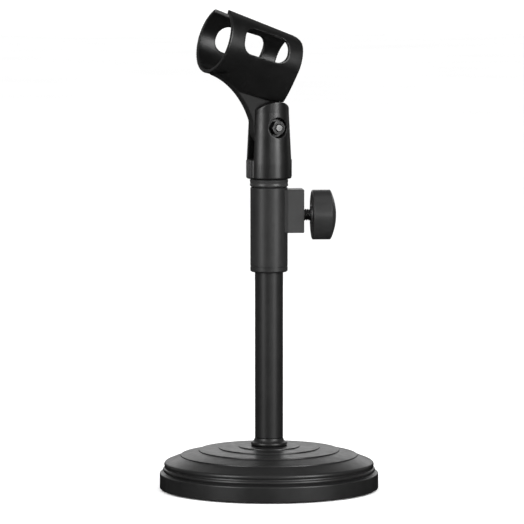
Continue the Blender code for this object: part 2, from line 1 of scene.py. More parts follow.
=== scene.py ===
"""Looks of the desktop microphone stand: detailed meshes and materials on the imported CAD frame.

Metres, +Z up, in the frame of the CAD model. Round pieces are turned from profiles with rounded
corners. The clip's two mouldings are cut from solids and then remeshed, which rounds their edges.
"""
import json
import math

import bmesh
import bpy
from mathutils import Matrix, Vector


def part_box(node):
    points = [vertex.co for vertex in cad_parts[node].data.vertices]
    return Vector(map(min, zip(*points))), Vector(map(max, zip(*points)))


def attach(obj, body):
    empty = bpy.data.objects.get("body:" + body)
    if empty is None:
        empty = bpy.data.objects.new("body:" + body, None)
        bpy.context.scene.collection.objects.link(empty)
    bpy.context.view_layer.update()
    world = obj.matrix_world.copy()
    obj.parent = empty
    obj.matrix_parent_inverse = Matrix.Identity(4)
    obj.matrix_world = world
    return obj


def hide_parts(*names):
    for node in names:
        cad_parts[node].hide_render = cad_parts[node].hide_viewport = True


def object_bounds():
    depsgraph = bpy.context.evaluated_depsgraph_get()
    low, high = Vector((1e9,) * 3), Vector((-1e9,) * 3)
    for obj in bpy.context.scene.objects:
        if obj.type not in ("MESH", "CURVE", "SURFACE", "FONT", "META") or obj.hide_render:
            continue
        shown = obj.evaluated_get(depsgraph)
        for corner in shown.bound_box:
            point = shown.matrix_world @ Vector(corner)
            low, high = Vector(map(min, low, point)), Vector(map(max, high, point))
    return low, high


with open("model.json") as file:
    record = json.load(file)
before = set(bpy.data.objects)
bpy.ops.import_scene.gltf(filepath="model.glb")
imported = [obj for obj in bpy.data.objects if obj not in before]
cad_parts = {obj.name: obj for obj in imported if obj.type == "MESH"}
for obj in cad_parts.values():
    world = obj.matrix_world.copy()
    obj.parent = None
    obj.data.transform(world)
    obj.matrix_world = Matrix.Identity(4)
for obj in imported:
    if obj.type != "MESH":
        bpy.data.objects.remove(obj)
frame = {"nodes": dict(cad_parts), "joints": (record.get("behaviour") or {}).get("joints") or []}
cad_low, cad_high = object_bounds()

# Camera
CAMERA_AZIMUTH = math.radians(-5)
CAMERA_DISTANCE = 2.5
CAMERA_HEIGHT = 0.36
CAMERA_AIM = 0.145
CAMERA_LENS = 286.3
CAMERA_SHIFT = (-0.01336, -0.02385)
CAMERA_CLIP = (0.05, 50.0)

# Stage. Name, azimuth from the camera and elevation in degrees, distance, size and watts
SOFTBOXES = (
    ("left_strip", -46, 19, 1.1, (0.34, 0.9), 8.0),
    ("right_strip", 45.5, 19, 1.1, (0.42, 0.9), 10.4),
    ("back_low", 180, 12, 1.3, (1.3, 0.5), 2.9),
    ("back_top", 180, 38, 1.3, (1.6, 0.7), 0.7),
    ("overhead", 0, 80, 1.5, (1.2, 1.2), 2.5),
    ("front", 16, 5, 1.8, (0.35, 0.30), 2.2),
    ("rear_left", -128, 16, 1.2, (0.40, 0.9), 0.45),
    ("rear_right", 128, 16, 1.2, (0.40, 0.9), 0.45),
)
SURROUND_STRENGTH = 1.15
FLOOR_HALF_WIDTH = 8.0
FLOOR_DROP = 0.00005

# Turned pieces
SEGMENTS = 160
FILLET_STEPS = 5
SHARP_ANGLE = math.radians(40)
GAP = 0.0003                  # kept between pieces that touch

# Base
SHELL_HOLE_RADIUS = 0.0053    # for the stud, through the hub
SHELL_HUB_RADIUS = 0.0116
SKIRT_HEIGHT = 0.0092
SKIRT_LEDGE_RADIUS = 0.0644
TERRACES = ((0.0533, 0.0208), (0.0424, 0.0238), (0.0303, 0.0253), (0.0183, 0.0261))
TERRACE_STEP = 0.0006
LOWER_BEAD = (0.0628, 0.0119)
LOWER_BEAD_RADIUS = 0.0013
UPPER_BEAD = (0.0616, 0.0150)
UPPER_BEAD_RADIUS = 0.0018
SHELL_WALL = 0.0024
SHELL_INSIDE = ((0.0590, 0.0138, 0.0010), (0.0600, 0.0090, 0), (0.0630, 0.0078, 0))   # under the beads
SKIRT_INSIDE_RADIUS = 0.0630

# Pole and its foot
POLE_WALL = 0.0012
FOOT_BORE_RADIUS = 0.0050
SPIGOT_TOP = 0.0460

# Clamp
BLOCK_REACH = 0.0207
BLOCK_THICKNESS = 0.0140
BLOCK_BOTTOM = 0.1554
BLOCK_TOP = 0.1815
HOUSING_RADIUS = 0.01125
HOUSING_LIP = 0.0010          # thickness of the inward lip at the top
CLAMP_SCREW_RADIUS = 0.0036
CLAMP_THREAD_DEPTH = 0.00075
CLAMP_PITCH = 0.00127
KNOB_HUB_RADIUS = 0.0060
KNOB_HUB_HEIGHT = 0.0008
KNOB_CROWN = 0.0030

# Riser
TUBE_WALL = 0.0010
FITTING_BORE_RADIUS = 0.00505
FITTING_RING_HEIGHT = 0.0046
THREAD_RADIUS = 0.0079
THREAD_DEPTH = 0.0005
THREAD_PITCH = 0.00094

# Clip base, in the clip's own frame about the pivot
CLIP_BASE_RADIUS = 0.0135
EAR_RADIUS = 0.0120
EAR_ARC = 0.0156
SLOT_WIDTH = 0.0074
SLOT_DEPTH = 0.0191
RECESS_RADIUS = 0.0060
RECESS_FLOOR = 0.0074
PIVOT_HOLE_RADIUS = 0.0026
PIVOT_SCREW_RADIUS = 0.0022
PIVOT_WASHER_RADIUS = 0.0050
PIVOT_WASHER_THICKNESS = 0.0009
PIVOT_HEAD_RADIUS = 0.0042
PIVOT_HEAD_HEIGHT = 0.0030
PIVOT_NUT_FLATS = 0.0080
PIVOT_NUT_HEIGHT = 0.0036
PIVOT_TIP_REACH = 0.0040      # from the nut's seat to the screw's tip
INSERT_BORE_HEIGHT = 0.0098
RIB_COUNT = 5
RIB_PITCH = 0.0018            # of the thumb strip's ribs, under the slot
RIB_RADIUS = 0.0008
CLIP_VOXEL = 0.00030

# Holder, along its own axis X from its middle
HOLDER_TILT = math.radians(16)
HOLDER_MIDDLE = (0.0122, 0.0459)
HOLDER_LENGTH = 0.0524
HOLDER_RADIUS_FRONT = 0.0205
HOLDER_RADIUS_BACK = 0.0172
HOLDER_WALL = 0.0023
HOLDER_SLIT = 0.0158
SLIT_CORNER = 0.0060
WINDOW_HALF_LENGTH = 0.0159
WINDOW_EDGES = (-0.0040, 0.0115)
WINDOW_CORNER = 0.0065
KEEL_DEPTH = 0.0255
KEEL_STRAIGHT_END = 0.0040
KEEL_FOOT_BACK = 0.0068
KEEL_FOOT_FRONT = 0.0037
KEEL_LEAVES = math.radians(17)
KEEL_FULLNESS = 0.65
KEEL_CLEARANCE = 0.0161
KEEL_FRONT = 0.0200
TONGUE_THICKNESS = 0.0068
TONGUE_END_RADIUS = 0.0120
TONGUE_EDGE = ((0.0386, 0.0322), (0.0275, 0.0283), (0.0173, 0.0180), (0.0125, 0.0042))
HOLDER_VOXEL = 0.00040

UP = Vector((0, 0, 1))


def joint(name):
    return next(j for j in frame["joints"] if j["name"] == name)


def reach(node):
    """Radius of a round CAD node on the pole's axis."""
    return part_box(node)[1].x


def bottom(node):
    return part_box(node)[0].z


def top(node):
    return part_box(node)[1].z


PIVOT = Vector(joint("clip_tilt")["pos_m"])
PIVOT_AXIS = Vector(joint("clip_tilt")["axis"]).normalized()
CLIP_SIDE = PIVOT_AXIS.cross(UP)
CLIP_FRAME = Matrix.Translation(PIVOT) @ Matrix((CLIP_SIDE, PIVOT_AXIS, UP)).transposed().to_4x4()
HOLDER_FRAME = (Matrix.Translation((HOLDER_MIDDLE[0], 0, HOLDER_MIDDLE[1]))
                @ Matrix.Rotation(-HOLDER_TILT, 4, "Y"))
CLAMP_FRAME = (Matrix.Translation((0, 0, joint("knob_turn")["pos_m"][2]))
               @ Matrix.Rotation(math.radians(90), 4, "Y"))
TO_PIVOT_AXIS = Matrix.Rotation(math.radians(-90), 4, "X")


# ---------------------------------------------------------------- mesh helpers

def new_object(name, bm, matrix=None):
    """Object with the bmesh's faces, its mesh moved by the matrix."""
    bmesh.ops.recalc_face_normals(bm, faces=bm.faces)
    mesh = bpy.data.meshes.new(name)
    bm.to_mesh(mesh)
    bm.free()
    if matrix is not None:
        mesh.transform(matrix)
    obj = bpy.data.objects.new(name, mesh)
    bpy.context.scene.collection.objects.link(obj)
    return obj


def rounded(corners, closed=False):
    """Points along (radius, height, fillet) corners, with each fillet turned into a short curve."""
    points = []
    for i, (radius, height, fillet) in enumerate(corners):
        here = Vector((radius, height))
        if fillet == 0 or (not closed and i in (0, len(corners) - 1)):
            points.append(here)
            continue
        to_last = Vector(corners[i - 1][:2]) - here
        to_next = Vector(corners[(i + 1) % len(corners)][:2]) - here
        half_angle = to_last.angle(to_next) / 2
        back = min(fillet / math.tan(half_angle), 0.48 * to_last.length, 0.48 * to_next.length)
        start = here + to_last.normalized() * back
        end = here + to_next.normalized() * back
        for k in range(FILLET_STEPS + 1):
            s = k / FILLET_STEPS
            points.append(start * (1 - s) ** 2 + here * 2 * s * (1 - s) + end * s ** 2)
    return points


def turned(name, corners, matrix=None, closed=False, segments=SEGMENTS):
    """Turn a profile about Z. A closed profile is a ring's section."""
    bm = bmesh.new()
    rings = []
    for radius, height in rounded(corners, closed):
        if radius < 1e-7:
            rings.append([bm.verts.new((0, 0, height))])
            continue
        angles = (math.tau * k / segments for k in range(segments))
        rings.append([bm.verts.new((radius * math.cos(a), radius * math.sin(a), height))
                      for a in angles])
    following = rings[1:] + rings[:1] if closed else rings[1:]
    for ring, after in zip(rings, following):
        for k in range(segments):
            n = (k + 1) % segments
            corners_of_face = (ring[k % len(ring)], ring[n % len(ring)],
                               after[n % len(after)], after[k % len(after)])
            unique = list(dict.fromkeys(corners_of_face))
            if len(unique) > 2:
                bm.faces.new(unique)
    return new_object(name, bm, matrix)


def rod_profile(radius, low, high, low_fillet=0, high_fillet=0):
    """Profile of a disc or rod about Z."""
    return [(0, low, 0), (radius, low, low_fillet), (radius, high, high_fillet), (0, high, 0)]


def ring_section(outer, inner, low, high, fillet):
    """Closed profile of a ring about Z."""
    return [(outer, low, fillet), (outer, high, fillet), (inner, high, fillet), (inner, low, fillet)]


def threaded(name, radius, depth, pitch, low, high, matrix=None):
    """Screw thread about Z: a rod whose surface rises and falls along a helix."""
    around, per_turn = 48, 10
    rows = int((high - low) / pitch * per_turn)
    bm = bmesh.new()
    rings = []
    for i in range(rows + 1):
        height = low + (high - low) * i / rows
        taper = min(1.0, (height - low) / pitch, (high - height) / pitch)
        ring = []
        for k in range(around):
            phase = (height / pitch - k / around) % 1.0
            groove = min(1.0, 2.6 * abs(phase - 0.5))
            r = radius - depth + depth * groove * taper
            angle = math.tau * k / around
            ring.append(bm.verts.new((r * math.cos(angle), r * math.sin(angle), height)))
        rings.append(ring)
    for ring, after in zip(rings, rings[1:]):
        for k in range(around):
            n = (k + 1) % around
            bm.faces.new((ring[k], ring[n], after[n], after[k]))
    bm.faces.new(rings[0])
    bm.faces.new(rings[-1])
    return new_object(name, bm, matrix)


def extruded(name, outline, depth, matrix=None):
    """Extrude a closed (x, z) outline along Y, centred on y = 0."""
    bm = bmesh.new()
    face = bm.faces.new([bm.verts.new((x, -depth / 2, z)) for x, z in outline])
    moved = bmesh.ops.extrude_face_region(bm, geom=[face])
    far_verts = [item for item in moved["geom"] if isinstance(item, bmesh.types.BMVert)]
    bmesh.ops.translate(bm, verts=far_verts, vec=(0, depth, 0))
    return new_object(name, bm, matrix)


def box(name, low, high, bevel=0.0):
    bm = bmesh.new()
    bmesh.ops.create_cube(bm, size=1.0)
    low, high = Vector(low), Vector(high)
    bmesh.ops.scale(bm, verts=bm.verts, vec=high - low)
    bmesh.ops.translate(bm, verts=bm.verts, vec=(low + high) / 2)
    if bevel:
        bmesh.ops.bevel(bm, geom=bm.edges, offset=bevel, segments=4, profile=0.5, affect="EDGES")
    return new_object(name, bm)


def arc(centre, radius, start, end, count):
    """Points on an arc, angles in degrees from +x."""
    steps = (math.radians(start + (end - start) * i / (count - 1)) for i in range(count))
    return [(centre[0] + radius * math.cos(a), centre[1] + radius * math.sin(a)) for a in steps]


def bezier(points, steps):
    """Points on a Bezier curve of any order, both ends included."""
    curve = []
    for i in range(steps + 1):
        level = [Vector(point) for point in points]
        while len(level) > 1:
            level = [a.lerp(b, i / steps) for a, b in zip(level, level[1:])]
        curve.append(tuple(level[0]))
    return curve


def combine(obj, *steps):
    """Apply (operation, tool) Booleans in turn, and remove the tools."""
    for operation, tool in steps:
        modifier = obj.modifiers.new(tool.name, "BOOLEAN")
        modifier.operation = operation
        modifier.solver = "MANIFOLD"
        modifier.object = tool
    apply_modifiers(obj)
    for _, tool in steps:
        bpy.data.objects.remove(tool, do_unlink=True)
    return obj


def apply_modifiers(obj):
    depsgraph = bpy.context.evaluated_depsgraph_get()
    mesh = bpy.data.meshes.new_from_object(obj.evaluated_get(depsgraph))
    obj.modifiers.clear()
    obj.data = mesh


def soften(obj, voxel, passes):
    """Remesh a solid and smooth it, which rounds every edge as a moulding's are."""
    remesh = obj.modifiers.new("voxels", "REMESH")
    remesh.mode = "VOXEL"
    remesh.voxel_size = voxel
    smooth = obj.modifiers.new("edges", "SMOOTH")
    smooth.factor = 0.5
    smooth.iterations = passes
    apply_modifiers(obj)


def dress(obj, body, slot, material, *nodes):
    """Shade the piece, put it on its body, and hide the CAD nodes it stands for."""
    obj.data.materials.clear()
    obj.data.materials.append(material)
    obj.data.shade_smooth()
    obj.data.set_sharp_from_angle(angle=SHARP_ANGLE)
    normals = obj.modifiers.new("normals", "WEIGHTED_NORMAL")
    normals.keep_sharp = True
    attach(obj, body)
    if nodes:
        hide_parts(*nodes)


# ---------------------------------------------------------------- materials

class Shader:
    """Small builder for one procedural material, in object space (metres)."""

    def __init__(self, name, metallic=0.0, specular=0.5):
        self.material = bpy.data.materials.new(name)
        self.material.use_nodes = True
        self.tree = self.material.node_tree
        self.surface = self.tree.nodes["Principled BSDF"]
        self.surface.inputs["Metallic"].default_value = metallic
        self.surface.inputs["Specular IOR Level"].default_value = specular
        self.place = self.node("ShaderNodeTexCoord").outputs["Object"]
        self.normal = None

    def node(self, kind, **inputs):
        made = self.tree.nodes.new(kind)
        for key, value in inputs.items():
            self.feed(made.inputs[key.replace("_", " ")], value)
        return made

    def feed(self, socket, value):
        if isinstance(value, bpy.types.NodeSocket):
            self.tree.links.new(value, socket)
        else:
            socket.default_value = value

    def stretched(self, scale):
        return self.node("ShaderNodeMapping", Vector=self.place, Scale=scale).outputs["Vector"]

    def noise(self, scale, detail=3.0, roughness=0.5, place=None):
        made = self.node("ShaderNodeTexNoise", Vector=place or self.place, Scale=scale,
                         Detail=detail, Roughness=roughness)
        return made.outputs["Fac"]

    def cells(self, scale, place=None):
        made = self.node("ShaderNodeTexVoronoi", Vector=place or self.place, Scale=scale)
        return made.outputs["Distance"]

    def ranged(self, value, low, high, from_low=0.3, from_high=0.7):
        made = self.tree.nodes.new("ShaderNodeMapRange")
        self.feed(made.inputs["Value"], value)
        self.feed(made.inputs["From Min"], from_low)
        self.feed(made.inputs["From Max"], from_high)
        self.feed(made.inputs["To Min"], low)
        self.feed(made.inputs["To Max"], high)
        return made.outputs["Result"]

    def worn_edges(self, amount=1.0):
        """Factor that rises on convex edges and breaks up along them."""
        point = self.node("ShaderNodeNewGeometry").outputs["Pointiness"]
        edge = self.ranged(point, 0.0, amount, 0.52, 0.60)
        patches = self.ranged(self.noise(420.0, 4.0), 0.25, 1.0)
        made = self.node("ShaderNodeMath")
        made.operation = "MULTIPLY"
        self.feed(made.inputs[0], edge)
        self.feed(made.inputs[1], patches)
        return made.outputs["Value"]

    def colour(self, factor, first, second):
        made = self.tree.nodes.new("ShaderNodeMix")
        made.data_type = "RGBA"
        self.feed(made.inputs["Factor"], factor)
        for socket, value in ((made.inputs[6], first), (made.inputs[7], second)):
            self.feed(socket, value if isinstance(value, bpy.types.NodeSocket) else (*value, 1.0))
        return made.outputs[2]

    def inside_slab(self, centre, axis, half):
        """One within a slab around the centre, across the axis, and zero outside it."""
        offset = self.node("ShaderNodeMapping", Vector=self.place, Location=-centre).outputs["Vector"]
        along = self.tree.nodes.new("ShaderNodeVectorMath")
        along.operation = "DOT_PRODUCT"
        self.feed(along.inputs[0], offset)
        self.feed(along.inputs[1], axis)
        distance = self.tree.nodes.new("ShaderNodeMath")
        distance.operation = "ABSOLUTE"
        self.feed(distance.inputs[0], along.outputs["Value"])
        return self.ranged(distance.outputs["Value"], 1.0, 0.0, half, half + 0.0002)

    def bump(self, height, distance):
        """Add relief on top of any that is already there."""
        made = self.node("ShaderNodeBump", Height=height, Distance=distance)
        if self.normal is not None:
            self.feed(made.inputs["Normal"], self.normal)
        self.normal = made.outputs["Normal"]

    def finish(self, colour, roughness):
        self.feed(self.surface.inputs["Base Color"], colour)
        self.feed(self.surface.inputs["Roughness"], roughness)
        if self.normal is not None:
            self.feed(self.surface.inputs["Normal"], self.normal)
        return self.material


def grey(value, warmth=0.0):
    return value * (1 + warmth), value, value * (1 - warmth)


def satin_paint(name, shade=0.007, gloss=0.41, highlight_from=1.0, highlight_shade=0.0):
    """Powder coat on steel: fine orange peel, tiny specks and slightly burnished edges.

    Past the given distance along X, the flat faces are painted a lighter grey: a painted highlight for a
    face that catches more light.
    """
    s = Shader(name, specular=0.45)
    clouds = s.noise(55.0, 4.0, 0.6)
    thin = s.colour(s.ranged(clouds, 0.0, 1.0), grey(shade * 0.85), grey(shade * 1.2))
    # Lighter grey used past the threshold along X: painted light on the flat faces there.
    painted_highlight = s.colour(s.ranged(clouds, 0.0, 1.0), grey(highlight_shade * 0.9), grey(highlight_shade * 1.1))
    along_x = s.node("ShaderNodeSeparateXYZ", Vector=s.place).outputs["X"]
    base = s.colour(s.ranged(along_x, 0.0, 1.0, highlight_from, highlight_from + 0.0004), thin, painted_highlight)
    colour = s.colour(s.worn_edges(0.5), base, grey(shade * 3.2))
    s.bump(s.noise(650.0, 3.0), 0.000007)
    s.bump(s.cells(5200.0), 0.0000012)
    return s.finish(colour, s.ranged(s.noise(260.0, 4.0), gloss - 0.035, gloss + 0.045))


def plastic_colour(s, shade):
    """Faint flow marks, and paler edges."""
    flow = s.noise(1.0, 3.0, place=s.stretched((60.0, 60.0, 22.0)))
    base = s.colour(s.ranged(flow, 0.0, 1.0), grey(shade * 0.85), grey(shade * 1.2))
    return s.colour(s.worn_edges(0.45), base, grey(shade * 3.0 + 0.01))


def moulding(name, shade, gloss, grain=0.0000035, scale=4200.0):
    """Moulded plastic with a fine spark-eroded grain."""
    s = Shader(name)
    colour = plastic_colour(s, shade)
    s.bump(s.noise(scale, 2.0, 0.6), grain)
    s.bump(s.cells(scale * 0.55), grain * 0.6)
    return s.finish(colour, s.ranged(s.noise(180.0, 4.0, 0.6), gloss - 0.04, gloss + 0.05))


def holder_plastic(name, shade, gloss, web_gloss):
    """The clip's plastic, with a coarser matte texture on the flat web under the holder."""
    s = Shader(name)
    colour = plastic_colour(s, shade)
    s.bump(s.noise(4200.0, 2.0, 0.6), 0.0000025)
    s.bump(s.cells(2300.0), 0.0000015)
    web = s.inside_slab(PIVOT, PIVOT_AXIS, TONGUE_THICKNESS / 2)
    spread = s.noise(180.0, 4.0, 0.6)
    polished = s.ranged(spread, gloss - 0.04, gloss + 0.05)
    matte = s.ranged(spread, web_gloss - 0.04, web_gloss + 0.04)
    return s.finish(colour, s.ranged(web, polished, matte, 0.0, 1.0))


def turned_steel(name, shade=0.55, gloss=0.26):
    """Bare steel with fine tool marks."""
    s = Shader(name, metallic=1.0)
    marks = s.noise(1.0, 2.0, 0.7, place=s.stretched((2600.0, 2600.0, 2600.0)))
    colour = s.colour(s.ranged(s.noise(300.0, 3.0), 0.0, 1.0), grey(shade * 0.9), grey(shade * 1.08))
    s.bump(marks, 0.000006)
    return s.finish(colour, s.ranged(marks, gloss - 0.06, gloss + 0.10))


def drawn_chrome(name):
    """Bright plating over fine draw lines along the tube."""
    s = Shader(name, metallic=1.0)
    lines = s.noise(1.0, 2.0, 0.6, place=s.stretched((5200.0, 5200.0, 60.0)))
    colour = s.colour(s.ranged(s.noise(90.0, 3.0), 0.0, 1.0), grey(0.66, -0.01), grey(0.74, -0.01))
    s.bump(lines, 0.000002)
    return s.finish(colour, s.ranged(lines, 0.09, 0.17))


def cast_iron(name):
    s = Shader(name, metallic=0.8)
    sand = s.noise(900.0, 6.0, 0.65)
    colour = s.colour(s.ranged(s.noise(120.0, 5.0), 0.0, 1.0), (0.06, 0.055, 0.05), (0.13, 0.12, 0.115))
    s.bump(sand, 0.00012)
    s.bump(s.cells(420.0), 0.00008)
    return s.finish(colour, s.ranged(sand, 0.6, 0.85))


def turned_brass(name):
    s = Shader(name, metallic=1.0)
    rings = s.noise(1.0, 2.0, 0.7, place=s.stretched((40.0, 40.0, 4200.0)))
    tarnish = s.ranged(s.noise(240.0, 5.0), 0.0, 1.0)
    s.bump(rings, 0.000006)
    return s.finish(s.colour(tarnish, (0.70, 0.50, 0.22), (0.58, 0.40, 0.18)),
                    s.ranged(rings, 0.20, 0.36))


def milky_nylon(name):
    s = Shader(name)
    s.surface.inputs["Subsurface Weight"].default_value = 0.15
    s.surface.inputs["Subsurface Radius"].default_value = (0.002, 0.002, 0.0018)
    colour = s.colour(s.ranged(s.noise(140.0, 4.0), 0.0, 1.0), (0.66, 0.64, 0.58), (0.74, 0.73, 0.69))
    s.bump(s.noise(2600.0, 3.0), 0.00001)
    return s.finish(colour, s.ranged(s.noise(300.0, 3.0), 0.42, 0.56))


def pad_rubber(name):
    """Dense foam rubber with open pores."""
    s = Shader(name, specular=0.35)
    pores = s.cells(1500.0)
    dust = s.ranged(s.noise(90.0, 5.0), 0.0, 1.0, 0.4, 0.8)
    s.bump(pores, 0.00012)
    s.bump(s.noise(2500.0, 3.0), 0.00004)
    return s.finish(s.colour(dust, grey(0.012), grey(0.022, 0.03)),
                    s.ranged(pores, 0.75, 0.95, 0.0, 0.6))


def floor_paper(name):
    s = Shader(name, specular=0.1)
    fibres = s.noise(900.0, 5.0, 0.6)
    s.bump(fibres, 0.00002)
    colour = s.colour(s.ranged(s.noise(3.0, 3.0), 0.0, 1.0), grey(0.90), grey(0.93))
    return s.finish(colour, s.ranged(fibres, 0.8, 0.95))


# ---------------------------------------------------------------- base

def base_shell():
    """Skirt, two beads, the terraces and a flat hub, with a wall of even thickness inside."""
    radius, skirt_foot = reach("base_shell"), bottom("base_shell")
    hub_top = top("base_shell")
    skirt_top = skirt_foot + SKIRT_HEIGHT
    outer = [(radius, skirt_foot, 0.0004), (radius, skirt_top, 0.0010),
             (SKIRT_LEDGE_RADIUS, skirt_top + 0.0003, 0.0003)]
    outer += [(r, z, 0) for r, z in arc(LOWER_BEAD, LOWER_BEAD_RADIUS, -55, 78, 12)]
    outer += [(r, z, 0) for r, z in arc(UPPER_BEAD, UPPER_BEAD_RADIUS, -42, 72, 12)]
    for edge, height in TERRACES:
        outer.append((edge + 0.0002, height - TERRACE_STEP, 0.0002))
        outer.append((edge, height, 0.0003))
    outer += [(SHELL_HUB_RADIUS, hub_top, 0.0010), (SHELL_HOLE_RADIUS, hub_top, 0.0003)]
    inner = [(SHELL_HOLE_RADIUS, hub_top - SHELL_WALL, 0)]
    for edge, height in reversed(TERRACES):
        inner.append((edge - 0.0010, height - SHELL_WALL - TERRACE_STEP, 0.0010))
    inner += [*SHELL_INSIDE, (SKIRT_INSIDE_RADIUS, 0.0078, 0), (SKIRT_INSIDE_RADIUS, skirt_foot, 0.0004)]
    shell = turned("stand_base_shell", outer + inner, closed=True, segments=2 * SEGMENTS)
    plastic = moulding("gloss_moulding", 0.008, 0.37, 0.0000008, 2600.0)
    dress(shell, "stand", "base_plastic", plastic, "base_shell")


def base_underside(rubber, steel):
    """Non-slip pad with rounded edges, and the cover plate above it."""
    disc = rod_profile(reach("base_pad"), bottom("base_pad"), top("base_pad"), 0.0003, 0.0002)
    dress(turned("stand_base_pad", disc), "stand", "rubber", rubber, "base_pad")
    disc = rod_profile(reach("bottom_cover"), bottom("bottom_cover"), top("bottom_cover"), 0.0003, 0.0003)
    dress(turned("stand_cover_plate", disc), "stand", "bare_steel", steel, "bottom_cover")


# ---------------------------------------------------------------- pole

def pole(paint):
    """Foot with a flange that flares up into the pole, and the pole's tube."""
    low, collar = bottom("outer_pole"), reach("pole_foot")
    radius, bore = reach("outer_pole"), reach("outer_pole") - POLE_WALL
    flange = top("base_shell") + GAP
    neck = radius + 0.0001
    foot_top = low - GAP
    flare = bezier(((collar - 0.0006, flange + 0.0019), (neck + 0.0005, flange + 0.0024),
                    (neck, foot_top)), 10)
    foot = turned("stand_pole_foot", [
        (FOOT_BORE_RADIUS, flange - 0.003, 0), (FOOT_BORE_RADIUS, flange, 0),
        (collar - 0.0002, flange, 0.0004), (collar, flange + 0.0009, 0.0007),
        (collar - 0.0003, flange + 0.0018, 0.0005)]
        + [(r, z, 0) for r, z in flare]
        + [(bore - GAP, foot_top, 0), (bore - GAP, SPIGOT_TOP, 0.0005), (0, SPIGOT_TOP, 0)])
    dress(foot, "stand", "painted_steel", paint, "pole_foot")
    wall = ring_section(radius, bore, low, top("outer_pole"), 0.0003)
    dress(turned("stand_outer_pole", wall, closed=True), "stand", "painted_steel", paint, "outer_pole")


def clutch_housing(paint):
    """Sleeve and clamp block in one piece, with a fine groove near the sleeve's lower end."""
    radius, low, high = HOUSING_RADIUS, bottom("clutch_housing"), top("clutch_housing")
    groove = radius - 0.0002
    sleeve = turned("stand_clutch_housing", [
        (0, low, 0), (radius - 0.0008, low, 0.0003), (radius, low + 0.0007, 0.0004),
        (radius, low + 0.0030, 0), (groove, low + 0.0031, 0), (groove, low + 0.0036, 0),
        (radius, low + 0.0037, 0), (radius, high - 0.0003, 0.0003), (radius - 0.0004, high, 0.0003),
        (0, high, 0)])
    half = BLOCK_THICKNESS / 2
    block = box("block", (0.002, -half, BLOCK_BOTTOM), (BLOCK_REACH, half, BLOCK_TOP), 0.0005)
    hole = turned("hole", rod_profile(CLAMP_SCREW_RADIUS + GAP, 0.004, 0.024), CLAMP_FRAME, segments=48)
    bore = reach("outer_pole") + GAP
    lip = reach("riser_tube") + 0.0006
    past = 0.001
    hollow = turned("hollow", [(0, low - past, 0), (bore, low - past, 0), (bore, high - HOUSING_LIP, 0),
                               (lip, high - HOUSING_LIP, 0), (lip, high + past, 0), (0, high + past, 0)],
                    Matrix.Rotation(math.pi / SEGMENTS, 4, "Z"))
    combine(sleeve, ("UNION", block), ("DIFFERENCE", hole), ("DIFFERENCE", hollow))
    dress(sleeve, "stand", "painted_steel", paint, "clutch_housing")


def clamp_knob(plastic, steel):
    """Round knob with a crowned face and a low hub, and its threaded screw."""
    back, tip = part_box("clamp_knob")[0].x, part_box("clamp_knob")[1].x
    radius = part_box("clamp_knob")[1].y
    screw_start, screw_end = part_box("clamp_screw")[0].x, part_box("clamp_screw")[1].x
    knob_back = back + KNOB_HUB_HEIGHT
    edge = tip - KNOB_CROWN
    face = radius - 0.0009
    sphere = (face ** 2 + KNOB_CROWN ** 2) / (2 * KNOB_CROWN)
    sweep = math.degrees(math.asin(face / sphere))
    dome = arc((0, tip - sphere), sphere, 90 - sweep, 90, 12)[1:-1]
    bore = CLAMP_SCREW_RADIUS + GAP
    end = screw_end + GAP
    knob = turned("knob_grip", [
        (0, end, 0), (bore, end, 0), (bore, back, 0.0003), (KNOB_HUB_RADIUS - 0.0003, back, 0.0004),
        (KNOB_HUB_RADIUS, knob_back, 0.0003), (radius, knob_back, 0.0009), (radius, edge - 0.0006, 0.0005),
        (face, edge, 0.0006)] + [(r, z, 0) for r, z in dome] + [(0, tip, 0)], CLAMP_FRAME)
    dress(knob, "knob", "moulded_plastic", plastic, "clamp_knob")
    screw = threaded("knob_screw", CLAMP_SCREW_RADIUS, CLAMP_THREAD_DEPTH, CLAMP_PITCH,
                     screw_start, screw_end, CLAMP_FRAME)
    dress(screw, "knob", "bare_steel", steel, "clamp_screw")


# ---------------------------------------------------------------- riser

def riser(ring_paint, chrome, brass):
    """Inner tube, the fitting with its slightly waisted ring and thread, and the clip's insert."""
    radius, low, high = reach("riser_tube"), bottom("riser_tube"), top("riser_tube")
    wall = ring_section(radius, radius - TUBE_WALL, low, high, 0.0003)
    dress(turned("riser_steel_tube", wall, closed=True), "riser", "bare_steel", chrome, "riser_tube")

    foot, rim = bottom("riser_fitting"), reach("riser_fitting")
    flange = top("clutch_housing") + GAP
    ring_top = flange + FITTING_RING_HEIGHT
    root, root_top = THREAD_RADIUS - 0.0008, ring_top + 0.0006
    fitting = turned("riser_top_fitting", [
        (0, foot, 0), (FITTING_BORE_RADIUS, foot, 0.0003), (FITTING_BORE_RADIUS, flange, 0),
        (rim - 0.0010, flange, 0.0003), (rim - 0.0002, flange + 0.0008, 0.0005),
        (rim - 0.0005, flange + 0.0023, 0.0012), (rim - 0.0002, ring_top - 0.0006, 0.0004),
        (rim - 0.0005, ring_top, 0.0004),
        (root, ring_top, 0), (root, root_top, 0), (0, root_top, 0)])
    dress(fitting, "riser", "painted_steel", ring_paint, "riser_fitting")
    thread = threaded("riser_thread", THREAD_RADIUS, THREAD_DEPTH, THREAD_PITCH, ring_top + GAP,
                      top("riser_fitting"))
    dress(thread, "riser", "painted_steel", ring_paint)

    section = ring_section(reach("clip_insert"), THREAD_RADIUS + GAP, bottom("clip_insert"),
                           top("clip_insert"), 0.0003)
    dress(turned("riser_clip_insert", section, closed=True), "riser", "brass", brass, "clip_insert")


# ---------------------------------------------------------------- clip base

